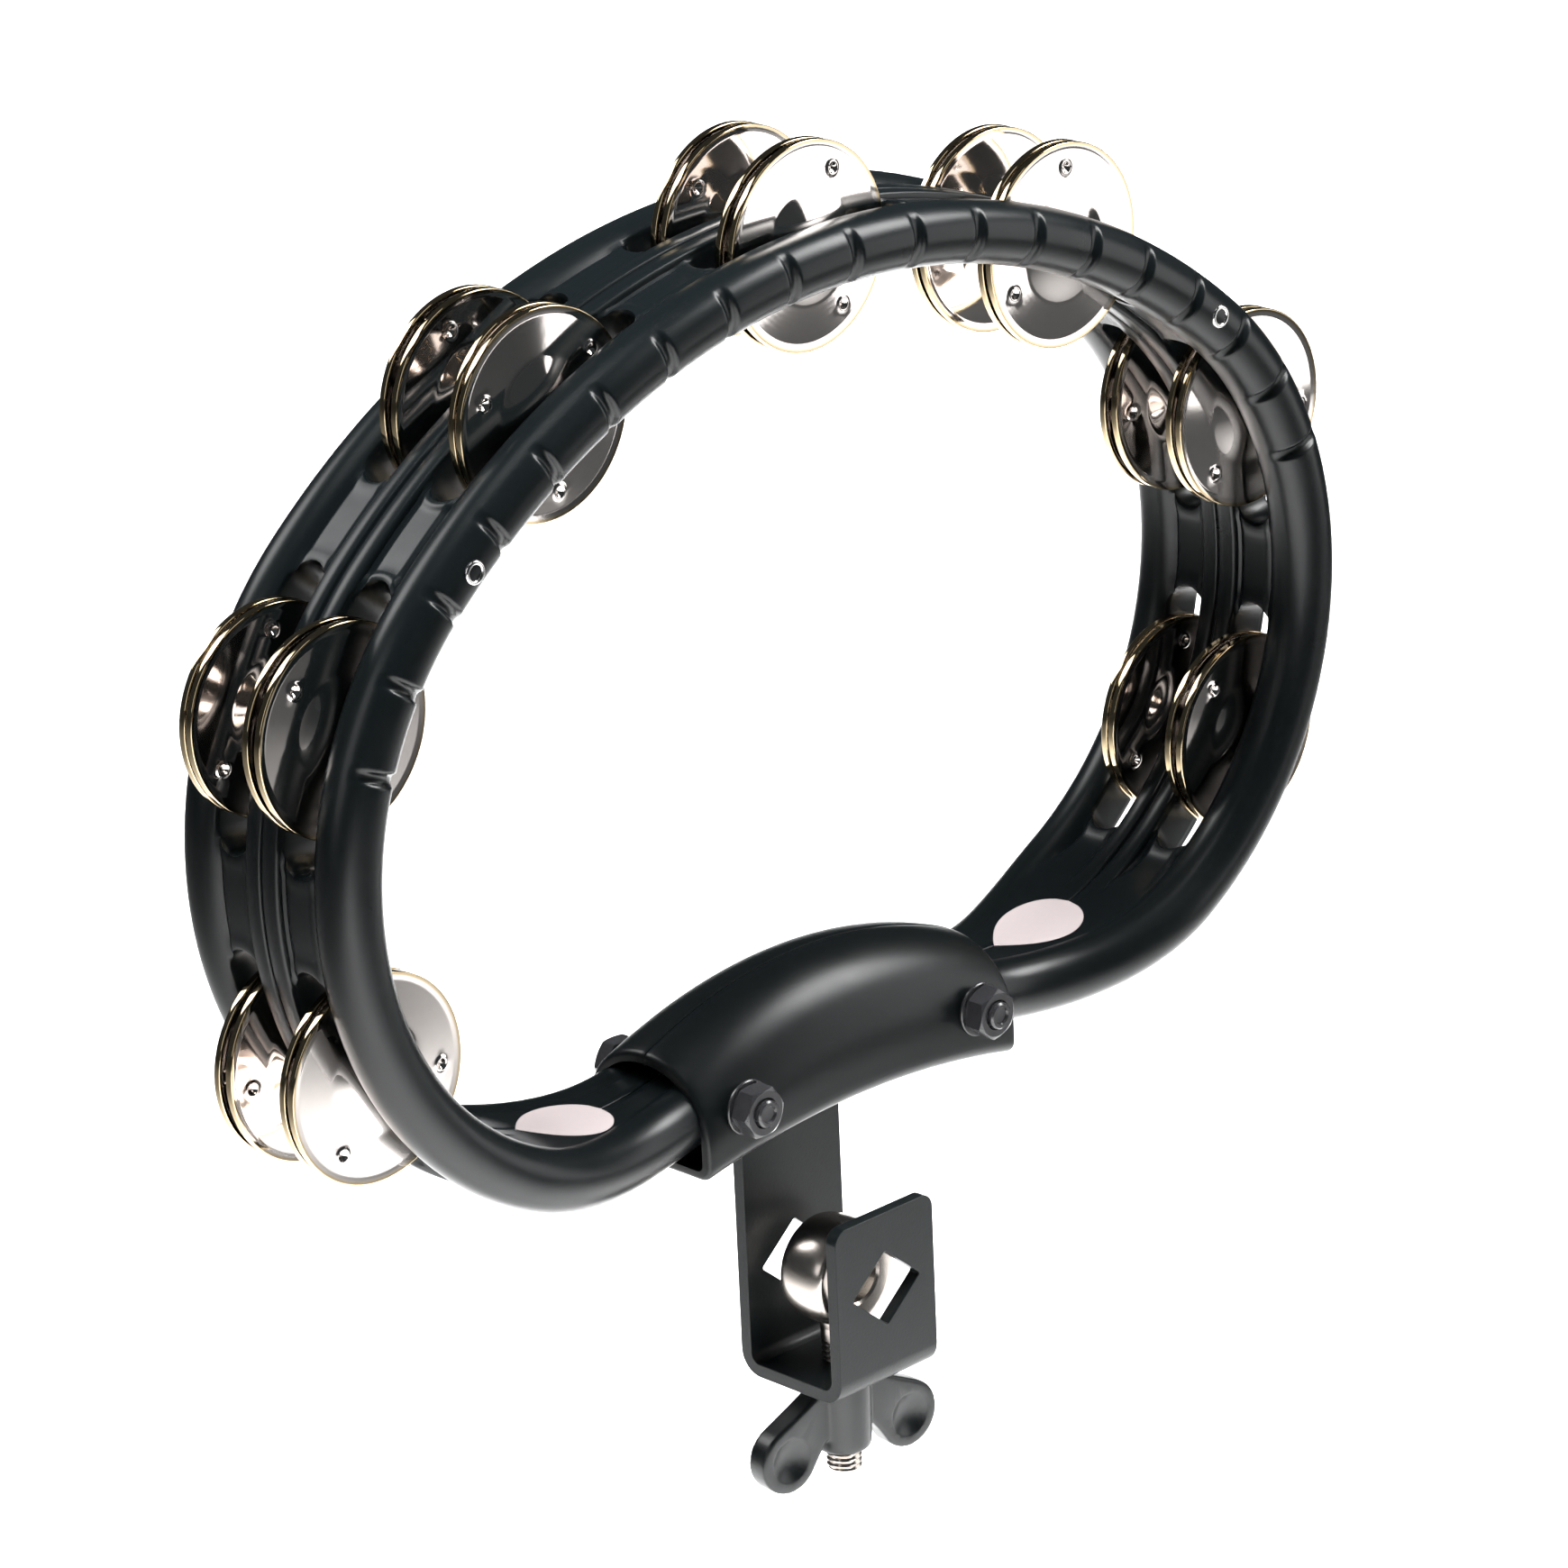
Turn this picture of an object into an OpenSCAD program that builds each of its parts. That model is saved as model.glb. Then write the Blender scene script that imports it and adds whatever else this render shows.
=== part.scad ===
// Mountable tambourine: a kidney-shaped two-half hoop with 28 jingles, a bolted grip
// cover, and a bracket whose eye bolt and wing nut clamp a cymbal-stand rod.
// Origin: centre of the eye that holds the rod. +X right, +Y back along the rod, +Z up.

/* [Hoop] */
// Radius of the hoop's wide top arc, on the rail's centre line
top_r = 173; // [165:1:180]
// Half the angle that the top arc covers, in degrees
top_half = 41.3; // [40:0.1:43]
// Radius of the two tight side arcs
side_r = 79; // [77:0.5:82]
// How far the side arcs turn past straight down, in degrees
tuck = 11.6; // [11:0.1:12]
// Height of the hoop's top centre line above the rod
top_z = 230.3; // [225:0.1:236]
// How far the hoop's mid-plane sits behind the eye's centre
mid_y = 7.2; // [6.8:0.1:7.6]

/* [Rail section] */
// Radius of the round bead that runs along each open edge
bead_r = 6.75; // [6.25:0.05:7]
// Distance of a bead's centre from the mid-plane
bead_y = 19.6; // [19:0.1:20]
// Thickness of the wall between the beads
web_t = 9; // [8:0.5:10]
// Thickness of the thicker rail along the parting seam
mid_rail_t = 12; // [11:0.5:13]
// Half the width of that middle rail, one half of it on each frame half
mid_rail_w = 4.8; // [4.5:0.1:5]
// Depth of the shallow groove that marks the parting seam
seam_d = 0.8; // [0.5:0.1:1]

/* [Slots and notches] */
// Distance between jingle stations along the centre line
station_pitch = 78; // [77:0.5:79]
// Width of a jingle slot
slot_w = 10; // [9.8:0.1:10.2]
// Length of a jingle slot along the rail
slot_len = 58; // [56:1:60]
// Distance between the notches cut in the front bead
notch_pitch = 18.1; // [17.8:0.1:18.4]
// Number of notches on each side of the top one
notch_n = 9; // [6:1:9]
// Radius of a notch
notch_r = 1.7; // [1.2:0.1:2]

/* [Jingles] */
// Outside radius of a jingle disc
disc_r = 22.25; // [21:0.25:22.5]
// Thickness of the disc's metal
disc_t = 0.6; // [0.5:0.1:0.7]
// Radius where the dome meets the flat flange
dome_r = 11.5; // [10:0.5:12]
// Height of the dome
dome_h = 2.3; // [1.8:0.1:2.4]
// Gap between the two rims of a pair
rim_gap = 3; // [2.6:0.2:3.4]
// Radius of the pin that a pair turns on
pin_r = 1.5; // [1.3:0.05:1.6]
// Radial running clearance of a disc on its pin
pin_play = 0.09; // [0.06:0.01:0.1]

/* [Grip cover] */
// Half the length of the cover
cover_half = 46.5; // [45:0.5:48]
// Half the depth of the cover, front to back
cover_y = 18.5; // [18:0.1:19]
// Wall thickness of the two cover shells
cover_wall = 2.2; // [2:0.1:2.4]
// Half the distance between the two M6 bolts
bolt_x = 35.1; // [34:0.1:36]
// Length of the slope where the frame narrows into the cover
taper_len = 35; // [30:1:38]

/* [Bracket and clamp] */
// Width of the bracket's strap
strap_w = 29.7; // [28:0.1:31]
// Thickness of the strap
strap_t = 3; // [2.8:0.1:3.2]
// Half the outside distance between the bracket's two plates
strap_y = 15.25; // [15.1:0.05:15.3]
// Underside of the bracket's web below the rod's centre
web_low = 23.5; // [22:0.5:25]
// Top of the front plate above the rod's centre
plate_top = 17.4; // [16:0.1:19]
// Half the width of the diamond hole
diamond_x = 10.3; // [10:0.1:11]
// Half the height of the diamond hole
diamond_z = 8.6; // [8.5:0.1:9]
// Outside radius of the eye
eye_r = 12; // [11.5:0.5:12]
// Bore of the eye, as a radius
eye_bore_r = 6.2; // [5.5:0.1:6.3]
// Width of the eye along the rod
eye_w = 13; // [12:0.5:14]
// Stud radius of the eye bolt
stud_r = 4; // [3.5:0.5:4]
// Lower end of the stud below the rod's centre
stud_low = 47.5; // [46:0.5:50]
// Distance of the wing nut's lobes from its axis
lobe_x = 20.3; // [19:0.1:21]

/* [Hidden] */
$fn = 64;
eps = 0.02;
far = 400;
top_cz = top_z - top_r;
side_x = (top_r - side_r) * sin(top_half);
side_z = top_cz + (top_r - side_r) * cos(top_half);
end_x = side_x - side_r * sin(tuck);
grip_r = end_x / sin(tuck);
grip_cz = side_z - side_r * cos(tuck) - grip_r * cos(tuck);
side_start = top_r * top_half * PI / 180;
side_end = side_start + side_r * (180 + tuck - top_half) * PI / 180;
joint_gap = 0.1;
collar_len = 1.2;
collar_lip = 0.12;
row_y = mid_rail_w + slot_w / 2 - 3 * eps;
frame_y = bead_y + bead_r;
core_y = cover_y - cover_wall - 0.2;
core_r = 8;
slot_reach = 18;
pin_end = row_y + slot_w / 2 + 5.2;
pin_fit = 0.02;
rivet_s = notch_pitch * 6.5;
rivet_r = 2.4;
rivet_bore = 1.5;
cover_top = 73;
cover_top_r = 113.1;
cover_low_r = grip_r - 11.9;
bolt_z = grip_cz + sqrt(grip_r * grip_r - bolt_x * bolt_x);
m6_r = 3;
m6_af = 10;
m6_head = 4;
m6_nut = 5;
m6_washer_r = 6;
m6_washer_t = 0.8;
tee_x = 43;
tee_low = 46.5;
tee_high = 59.5;
bend_out = 5.5;
stud_hole = stud_r + 0.35;
nut_play = 0.05;
boss_r = 6.5;
boss_top = -web_low - 0.3;
boss_low = -42;
lobe_r = 7.5;
lobe_t = 5.5;
lobe_z = -39.5;
lobe_turn = -5;
label_t = 0.3;
label_s = 308;
label_half = 10.5;
label_tip = 13;
land_s = 268;
blank = [0.08, 0.08, 0.085];
satin = [0.05, 0.05, 0.055];
nickel = [0.78, 0.76, 0.74];
steel = [0.72, 0.71, 0.69];
pale = [0.93, 0.87, 0.86];

// ---- helpers: arcs of the hoop, and places on its centre line

// Stands an XY drawing up in the XZ plane; the drawing's height runs from y0 towards the front.
module upright(y0) {
    translate([0, y0, 0])
        rotate([90, 0, 0])
            children();
}

// Sweeps a section (x = radial offset, y = distance in front of the mid-plane) from heading h0 to h1.
module arc(radius, h0, h1) {
    upright(mid_y)
        rotate([0, 0, 90 - h1])
            rotate_extrude(angle = h1 - h0)
                translate([radius, 0])
                    children();
}

module top_arc(h0, h1) {
    translate([0, 0, top_cz])
        arc(top_r, h0, h1)
            children();
}

module side_arc(h0, h1) {
    translate([side_x, 0, side_z])
        arc(side_r, h0, h1)
            children();
}

module grip_arc(h0, h1) {
    translate([0, 0, grip_cz])
        arc(grip_r, h0, h1)
            children();
}

module both_sides() {
    children();
    mirror([1, 0, 0])
        children();
}

// Closed hoop swept with one section; collars of collar_section bridge the joints between the arcs.
module hoop_sweep() {
    top_gap = joint_gap / top_r * 180 / PI;
    side_gap = joint_gap / side_r * 180 / PI;
    grip_gap = joint_gap / grip_r * 180 / PI;
    top_arc(-top_half + top_gap, top_half - top_gap)
        children(0);
    both_sides() {
        side_arc(top_half + side_gap, 180 + tuck - side_gap)
            children(0);
        for (s = [side_start, side_end])
            on_rail(s)
                rotate([0, -90, 0])
                    mirror([0, 1, 0])
                        linear_extrude(collar_len, center = true)
                            children(1);
    }
    grip_arc(-tuck + grip_gap, tuck - grip_gap)
        children(0);
}

function side_heading(s) = top_half + (s - side_start) / side_r * 180 / PI;

// Places children at arc length s from the top: X along the rail, Z outwards, Y = 0 on the mid-plane.
module on_rail(s) {
    flip = s < 0 ? 1 : 0;
    t = abs(s);
    mirror([flip, 0, 0])
        if (t <= side_start)
            translate([0, mid_y, top_cz])
                rotate([0, t / top_r * 180 / PI, 0])
                    translate([0, 0, top_r])
                        children();
        else
            translate([side_x, mid_y, side_z])
                rotate([0, side_heading(t), 0])
                    translate([0, 0, side_r])
                        children();
}

// Rod along Y through the point where children are placed, from y0 to y1.
module y_rod(r, y0, y1) {
    translate([0, y0, 0])
        rotate([-90, 0, 0])
            cylinder(r = r, h = y1 - y0);
}

// ---- the frame

// Half section of the rail, drawn proud by lip on every side.
module rail_section(lip) {
    translate([0, bead_y])
        circle(r = bead_r + lip);
    translate([-web_t / 2 - lip, 0])
        square([web_t + 2 * lip, bead_y]);
    translate([-mid_rail_t / 2 - lip, seam_d / 2])
        square([mid_rail_t + 2 * lip, mid_rail_w + lip - seam_d / 2]);
    translate([-mid_rail_t / 2 - lip + seam_d, 0])
        square([mid_rail_t + 2 * lip - 2 * seam_d, mid_rail_w]);
}

// Flat land that closes the channel beside the grip.
module land_section() {
    translate([-mid_rail_t / 2 + eps * 5, seam_d / 2 + eps])
        square([mid_rail_t - eps * 10, bead_y - seam_d / 2]);
}

module core_section() {
    translate([-core_r, 0])
        square([2 * core_r, core_y - 0.1]);
}

// One slot of the front half, centred on arc length s, with round ends.
module slot(s) {
    straight = slot_len - slot_w;
    on_rail(s)
        translate([0, -row_y, -slot_reach])
            linear_extrude(2 * slot_reach) {
                square([straight, slot_w], center = true);
                for (side = [-1, 1])
                    translate([side * straight / 2, 0])
                        circle(r = slot_w / 2 - eps);
            }
}

// Outline of the space in front of the narrowed frame, seen from above.
module taper_plan() {
    steps = 8;
    slope = [for (i = [0 : steps]) let (t = i / steps)
        [cover_half + taper_len * t, core_y + (frame_y - core_y + eps) * t * t * (3 - 2 * t)]];
    polygon(concat(
        [[-cover_half - taper_len, far / 10]],
        [for (i = [steps : -1 : 0]) [-slope[i][0], slope[i][1]]],
        slope,
        [[cover_half + taper_len, far / 10]]));
}

// Front half before the mirror: the rail, its lands and its grip core, less everything cut in it.
module frame_half() {
    difference() {
        union() {
            hoop_sweep() {
                rail_section(0);
                rail_section(collar_lip);
            }
            both_sides()
                side_arc(side_heading(land_s), side_heading(side_end - joint_gap * 2))
                    land_section();
            grip_arc(-tuck + 0.3, tuck - 0.3)
                core_section();
        }
        for (k = [-3 : 3])
            slot(k * station_pitch);
        for (k = [-3 : 3])
            on_rail(k * station_pitch)
                y_rod(pin_r + pin_fit, -pin_end, eps);
        for (s = [-rivet_s, rivet_s])
            on_rail(s)
                y_rod(rivet_r + pin_fit, -far / 10, eps);
        for (x = [-bolt_x, bolt_x])
            translate([x, mid_y, bolt_z])
                y_rod(m6_r + 0.1, -far / 10, eps);
        translate([0, mid_y, 0])
            mirror([0, 1, 0])
                translate([0, 0, 20])
                    linear_extrude(75)
                        taper_plan();
    }
}

module frame_front_half() {
    color(satin)
        difference() {
            frame_half();
            for (k = [-notch_n : notch_n])
                on_rail(k * notch_pitch)
                    translate([0, -frame_y, -far / 20])
                        cylinder(r = notch_r, h = far / 10);
        }
}

module frame_rear_half() {
    color(satin)
        difference() {
            translate([0, 2 * mid_y, 0])
                mirror([0, 1, 0])
                    frame_half();
            // pocket for the bracket's cross bar
            translate([-tee_x - 0.3, strap_y - strap_t - 0.2, 20])
                cube([2 * tee_x + 0.6, strap_t + 0.4, 50]);
        }
}

module frame_rivets() {
    color(steel)
        for (s = [-rivet_s, rivet_s])
            on_rail(s)
                difference() {
                    y_rod(rivet_r, -frame_y - 0.4, frame_y + 0.4);
                    y_rod(rivet_bore, -frame_y - 1, frame_y + 1);
                }
}

module jingle_pins() {
    color(blank)
        for (k = [-3 : 3])
            on_rail(k * station_pitch)
                y_rod(pin_r, -pin_end + 0.1, pin_end - 0.1);
}

// ---- jingles

// Half section of a disc: flat flange, then a dome that rises towards +Y of the drawing.
module disc_section() {
    hole = pin_r + pin_play;
    steps = 6;
    rise = function (t) dome_h * (1 - t * t * (3 - 2 * t));
    crown = dome_r - hole - 2;
    curve = [for (i = [0 : steps]) let (t = i / steps) [hole + 2 + crown * t, rise(t)]];
    polygon(concat(
        [[hole, dome_h]],
        curve,
        [[disc_r, 0], [disc_r, disc_t]],
        [for (i = [steps : -1 : 0]) [curve[i][0], curve[i][1] + disc_t]],
        [[hole, dome_h + disc_t]]));
}

// Disc at a station (1 to 7, right end to left end), in the row at row_side, domed towards out.
module jingle(station, row_side, out) {
    dimple_r = disc_r * 0.76;
    on_rail((4 - station) * station_pitch)
        translate([0, row_side * row_y + out * rim_gap / 2, 0])
            rotate([-90 * out, 0, 0])
                difference() {
                    rotate_extrude()
                        disc_section();
                    for (a = [90, 210, 330])
                        rotate([0, 0, a])
                            translate([dimple_r, 0, disc_t + 1.2])
                                sphere(r = 1.5);
                }
}

// ---- grip cover

// Outline of the cover seen from the front, shrunk by k on every side.
module cover_outline(k) {
    difference() {
        intersection() {
            translate([0, cover_top - cover_top_r])
                circle(r = cover_top_r - k);
            translate([-cover_half + k, 0])
                square([2 * (cover_half - k), far / 2]);
        }
        translate([0, grip_cz])
            circle(r = cover_low_r + k);
    }
}

// Front shell: a tray that meets the rear one on the mid-plane.
module cover_half_shell() {
    open_r = core_r + 0.2;
    difference() {
        upright(mid_y)
            linear_extrude(cover_y)
                cover_outline(0);
        upright(mid_y + eps)
            linear_extrude(cover_y - cover_wall + eps)
                cover_outline(cover_wall);
        both_sides()
            side_arc(180 + tuck - 6, 180 + tuck + 0.1)
                translate([-bead_r - 0.3, -1])
                    square([2 * bead_r + 0.6, core_y + 1.2]);
        grip_arc(-tuck, tuck)
            translate([-open_r, -1])
                square([2 * open_r, core_y + 1.2]);
        for (x = [-bolt_x, bolt_x])
            translate([x, mid_y, bolt_z])
                y_rod(m6_r + 0.1, -far / 10, 1);
    }
}

module grip_cover_front() {
    color(satin)
        cover_half_shell();
}

module grip_cover_rear() {
    color(satin)
        difference() {
            translate([0, 2 * mid_y, 0])
                mirror([0, 1, 0])
                    cover_half_shell();
            // slit in the underside for the bracket's rear plate
            translate([-strap_w / 2 - 0.3, strap_y - strap_t - 0.3, 30])
                cube([strap_w + 0.6, strap_t + 0.6, 20]);
        }
}

// ---- fasteners of the grip

module at_bolts() {
    for (x = [-bolt_x, bolt_x])
        translate([x, mid_y, bolt_z])
            children();
}

module hex_y(af, y0, y1) {
    translate([0, y0, 0])
        rotate([-90, 0, 0])
            cylinder(r = af / sqrt(3), h = y1 - y0, $fn = 6);
}

module cover_bolts() {
    color(blank)
        at_bolts() {
            y_rod(m6_r, -cover_y - m6_washer_t - m6_nut - 1.2, cover_y + 0.1);
            hex_y(m6_af, cover_y, cover_y + m6_head);
        }
}

module bolt_washers() {
    color(blank)
        at_bolts()
            difference() {
                y_rod(m6_washer_r, -cover_y - m6_washer_t, -cover_y);
                y_rod(m6_r + pin_fit, -cover_y - 2, -cover_y + 1);
            }
}

module cover_nuts() {
    color(blank)
        at_bolts()
            difference() {
                hex_y(m6_af, -cover_y - m6_washer_t - m6_nut, -cover_y - m6_washer_t);
                y_rod(m6_r + pin_fit, -far / 10, 0);
            }
}

// ---- bracket and clamp

// Side view of the strap: rear plate, bent web and front plate, in Y (drawn x) and Z (drawn y).
module strap_profile(inset) {
    r = bend_out - inset;
    y = strap_y - inset;
    z = web_low - inset;
    for (side = [-1, 1])
        translate([side * (y - r), -z + r])
            circle(r = r);
    translate([-y + r, -z])
        square([2 * (y - r), r]);
    translate([-y, -z + r])
        square([2 * y, far / 4]);
}

module diamond() {
    polygon([[-diamond_x, 0], [0, -diamond_z], [diamond_x, 0], [0, diamond_z]]);
}

// Front view of the plate that keeps the strap inside its rounded ends.
module plate_view(top, corner) {
    hull_w = strap_w - 2 * corner;
    for (side = [-1, 1])
        translate([side * hull_w / 2, top - corner])
            circle(r = corner);
    translate([-hull_w / 2, -web_low - 1])
        square([hull_w, top + web_low + 1]);
    translate([-strap_w / 2, -web_low - 1])
        square([strap_w, top - corner + web_low + 1]);
}

module clamp_bracket() {
    color(blank)
        difference() {
            union() {
                intersection() {
                    rotate([90, 0, 90])
                        translate([0, 0, -strap_w / 2])
                            linear_extrude(strap_w)
                                difference() {
                                    strap_profile(0);
                                    strap_profile(strap_t);
                                }
                    union() {
                        upright(0)
                            linear_extrude(strap_y + 1)
                                plate_view(plate_top, 4);
                        upright(strap_y + 1)
                            linear_extrude(strap_y + 1)
                                plate_view(tee_high, 1);
                    }
                }
                // cross bar inside the grip
                upright(strap_y)
                    linear_extrude(strap_t) {
                        translate([-tee_x + 4, tee_low])
                            square([2 * (tee_x - 4), tee_high - tee_low]);
                        for (side = [-1, 1])
                            translate([side * (tee_x - 6.5), (tee_low + tee_high) / 2])
                                circle(r = (tee_high - tee_low) / 2);
                    }
            }
            upright(far / 20)
                linear_extrude(far / 10)
                    diamond();
            translate([0, 0, -far / 4])
                cylinder(r = stud_hole, h = far / 4);
            at_bolts()
                y_rod(m6_r + 0.1, -far / 10, far / 10);
        }
}

module eye_bolt() {
    color(nickel)
        difference() {
            union() {
                y_rod(eye_r - 1, -eye_w / 2, eye_w / 2);
                y_rod(eye_r, -eye_w / 2 + 1, eye_w / 2 - 1);
                translate([0, 0, -stud_low])
                    cylinder(r = stud_r, h = stud_low);
            }
            y_rod(eye_bore_r, -eye_w, eye_w);
        }
}

module wing_nut() {
    color(blank)
        difference() {
            union() {
                translate([0, 0, boss_low])
                    cylinder(r = boss_r, h = boss_top - boss_low);
                rotate([0, 0, lobe_turn])
                    upright(lobe_t / 2)
                        linear_extrude(lobe_t) {
                            for (side = [-1, 1])
                                translate([side * lobe_x, lobe_z])
                                    circle(r = lobe_r);
                            translate([-lobe_x, lobe_z - 3])
                                square([2 * lobe_x, 8]);
                        }
            }
            translate([0, 0, -far / 4])
                cylinder(r = stud_r + nut_play, h = far / 4);
            rotate([0, 0, lobe_turn])
                for (side = [-1, 1])
                    for (face = [-1, 1])
                        translate([side * lobe_x, face * (lobe_t / 2 + 6.4), lobe_z])
                            sphere(r = 7.5);
        }
}

// Two blank egg-shaped labels on the rail's inner face beside the grip, narrow end to the left.
module stickers() {
    color(pale)
        for (side = [-1, 1])
            intersection() {
                both_sides()
                    side_arc(150, 180 + tuck - 1)
                        translate([-mid_rail_t / 2 - label_t - eps, -label_half])
                            square([label_t, 2 * label_half]);
                on_rail(side * label_s)
                    translate([0, 0, -slot_reach])
                        linear_extrude(2 * slot_reach) {
                            circle(r = label_half - 0.5);
                            polygon([[0, -label_half + 0.5], [label_tip * 0.7, -5],
                                [label_tip, 0], [label_tip * 0.7, 5],
                                [0, label_half - 0.5]]);
                        }
            }
}

// ---- the 28 discs: station 1 is at the right grip end, counted over the top to 7
module jingle_1_front_outer() { color(nickel) jingle(1, -1, -1); }
module jingle_1_front_inner() { color(nickel) jingle(1, -1, 1); }
module jingle_1_rear_outer() { color(nickel) jingle(1, 1, 1); }
module jingle_1_rear_inner() { color(nickel) jingle(1, 1, -1); }
module jingle_2_front_outer() { color(nickel) jingle(2, -1, -1); }
module jingle_2_front_inner() { color(nickel) jingle(2, -1, 1); }
module jingle_2_rear_outer() { color(nickel) jingle(2, 1, 1); }
module jingle_2_rear_inner() { color(nickel) jingle(2, 1, -1); }
module jingle_3_front_outer() { color(nickel) jingle(3, -1, -1); }
module jingle_3_front_inner() { color(nickel) jingle(3, -1, 1); }
module jingle_3_rear_outer() { color(nickel) jingle(3, 1, 1); }
module jingle_3_rear_inner() { color(nickel) jingle(3, 1, -1); }
module jingle_4_front_outer() { color(nickel) jingle(4, -1, -1); }
module jingle_4_front_inner() { color(nickel) jingle(4, -1, 1); }
module jingle_4_rear_outer() { color(nickel) jingle(4, 1, 1); }
module jingle_4_rear_inner() { color(nickel) jingle(4, 1, -1); }
module jingle_5_front_outer() { color(nickel) jingle(5, -1, -1); }
module jingle_5_front_inner() { color(nickel) jingle(5, -1, 1); }
module jingle_5_rear_outer() { color(nickel) jingle(5, 1, 1); }
module jingle_5_rear_inner() { color(nickel) jingle(5, 1, -1); }
module jingle_6_front_outer() { color(nickel) jingle(6, -1, -1); }
module jingle_6_front_inner() { color(nickel) jingle(6, -1, 1); }
module jingle_6_rear_outer() { color(nickel) jingle(6, 1, 1); }
module jingle_6_rear_inner() { color(nickel) jingle(6, 1, -1); }
module jingle_7_front_outer() { color(nickel) jingle(7, -1, -1); }
module jingle_7_front_inner() { color(nickel) jingle(7, -1, 1); }
module jingle_7_rear_outer() { color(nickel) jingle(7, 1, 1); }
module jingle_7_rear_inner() { color(nickel) jingle(7, 1, -1); }

frame_front_half();
frame_rear_half();
frame_rivets();
jingle_pins();
grip_cover_front();
grip_cover_rear();
clamp_bracket();
cover_bolts();
bolt_washers();
cover_nuts();
eye_bolt();
wing_nut();
stickers();
jingle_1_front_outer();
jingle_1_front_inner();
jingle_1_rear_outer();
jingle_1_rear_inner();
jingle_2_front_outer();
jingle_2_front_inner();
jingle_2_rear_outer();
jingle_2_rear_inner();
jingle_3_front_outer();
jingle_3_front_inner();
jingle_3_rear_outer();
jingle_3_rear_inner();
jingle_4_front_outer();
jingle_4_front_inner();
jingle_4_rear_outer();
jingle_4_rear_inner();
jingle_5_front_outer();
jingle_5_front_inner();
jingle_5_rear_outer();
jingle_5_rear_inner();
jingle_6_front_outer();
jingle_6_front_inner();
jingle_6_rear_outer();
jingle_6_rear_inner();
jingle_7_front_outer();
jingle_7_front_inner();
jingle_7_rear_outer();
jingle_7_rear_inner();
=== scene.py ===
# Looks of the mountable tambourine: black moulded hoop and grip, nickel jingles, rod clamp.
import math

import bmesh
import bpy
from mathutils import Matrix, Vector


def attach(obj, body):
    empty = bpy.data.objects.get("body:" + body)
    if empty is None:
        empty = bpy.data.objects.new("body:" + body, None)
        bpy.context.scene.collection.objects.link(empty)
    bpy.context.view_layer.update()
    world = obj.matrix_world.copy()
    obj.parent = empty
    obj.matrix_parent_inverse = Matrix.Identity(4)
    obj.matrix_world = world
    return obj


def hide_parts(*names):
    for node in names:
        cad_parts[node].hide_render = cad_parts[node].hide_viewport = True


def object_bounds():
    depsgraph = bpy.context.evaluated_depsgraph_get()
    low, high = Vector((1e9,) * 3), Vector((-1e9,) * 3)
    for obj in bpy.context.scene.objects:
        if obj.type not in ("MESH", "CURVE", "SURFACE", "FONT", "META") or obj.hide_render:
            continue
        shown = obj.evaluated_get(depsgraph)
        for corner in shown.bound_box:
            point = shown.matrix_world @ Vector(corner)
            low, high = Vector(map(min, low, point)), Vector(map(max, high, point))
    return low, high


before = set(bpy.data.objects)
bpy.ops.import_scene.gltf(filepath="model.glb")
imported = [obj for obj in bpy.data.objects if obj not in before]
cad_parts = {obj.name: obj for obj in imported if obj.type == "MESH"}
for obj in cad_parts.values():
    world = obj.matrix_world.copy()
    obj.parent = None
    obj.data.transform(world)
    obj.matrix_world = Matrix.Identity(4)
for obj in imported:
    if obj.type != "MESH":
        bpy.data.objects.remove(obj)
cad_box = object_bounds()

MM = 0.001
# points closer than this, in metres, are welded
WELD = 1e-6
ROOT = "tambourine"

# ---- driving sizes of the hoop and grip in mm, as in the CAD unless a note says otherwise
TOP_R, TOP_HALF = 173.0, math.radians(41.3)
SIDE_R, TUCK = 79.0, math.radians(11.6)
TOP_Z, MID_Y = 230.3, 7.2
BEAD_R, BEAD_Y = 6.75, 19.6
# half thickness of the web and of the middle rail, and the middle rail's half width
WEB_Q, MID_Q, MID_W = 4.5, 6.0, 4.8
SLOT_LEN, SLOT_W = 58.0, 10.0
STATION_PITCH, NOTCH_PITCH, NOTCHES = 78.0, 18.1, 9
# stations are counted from 0 at the top of the hoop to LAST_STATION on each side
LAST_STATION = 3
STATIONS = range(-LAST_STATION, LAST_STATION + 1)
# the two lowest slots of each row run further down than in the CAD
LOW_SLOT_EXTRA = 4.5
TOP_CZ = TOP_Z - TOP_R
SIDE_X = (TOP_R - SIDE_R) * math.sin(TOP_HALF)
SIDE_Z = TOP_CZ + (TOP_R - SIDE_R) * math.cos(TOP_HALF)
END_X = SIDE_X - SIDE_R * math.sin(TUCK)
GRIP_R = END_X / math.sin(TUCK)
GRIP_CZ = SIDE_Z - (SIDE_R + GRIP_R) * math.cos(TUCK)
ROW_Y = MID_W + SLOT_W / 2
S_TOP = TOP_R * TOP_HALF
S_SIDE = S_TOP + SIDE_R * (math.pi + TUCK - TOP_HALF)
S_HALF = S_SIDE + GRIP_R * TUCK
RIVET_S = 6.5 * NOTCH_PITCH
COVER_HALF, COVER_Y, COVER_WALL = 46.5, 18.5, 2.2
COVER_GAP = 0.2
COVER_TOP, COVER_TOP_R = 73.0, 113.1
COVER_LOW_R = GRIP_R - 11.9
BOLT_X = 35.1
BOLT_Z = GRIP_CZ + math.sqrt(GRIP_R ** 2 - BOLT_X ** 2)
# the frame narrows into the cover over a longer stretch than in the CAD
TAPER_LEN, TAPER_INSIDE = 56.0, 2.0
DISC_R = 22.25


def smooth(t):
    t = min(max(t, 0.0), 1.0)
    return t * t * (3 - 2 * t)


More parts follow.
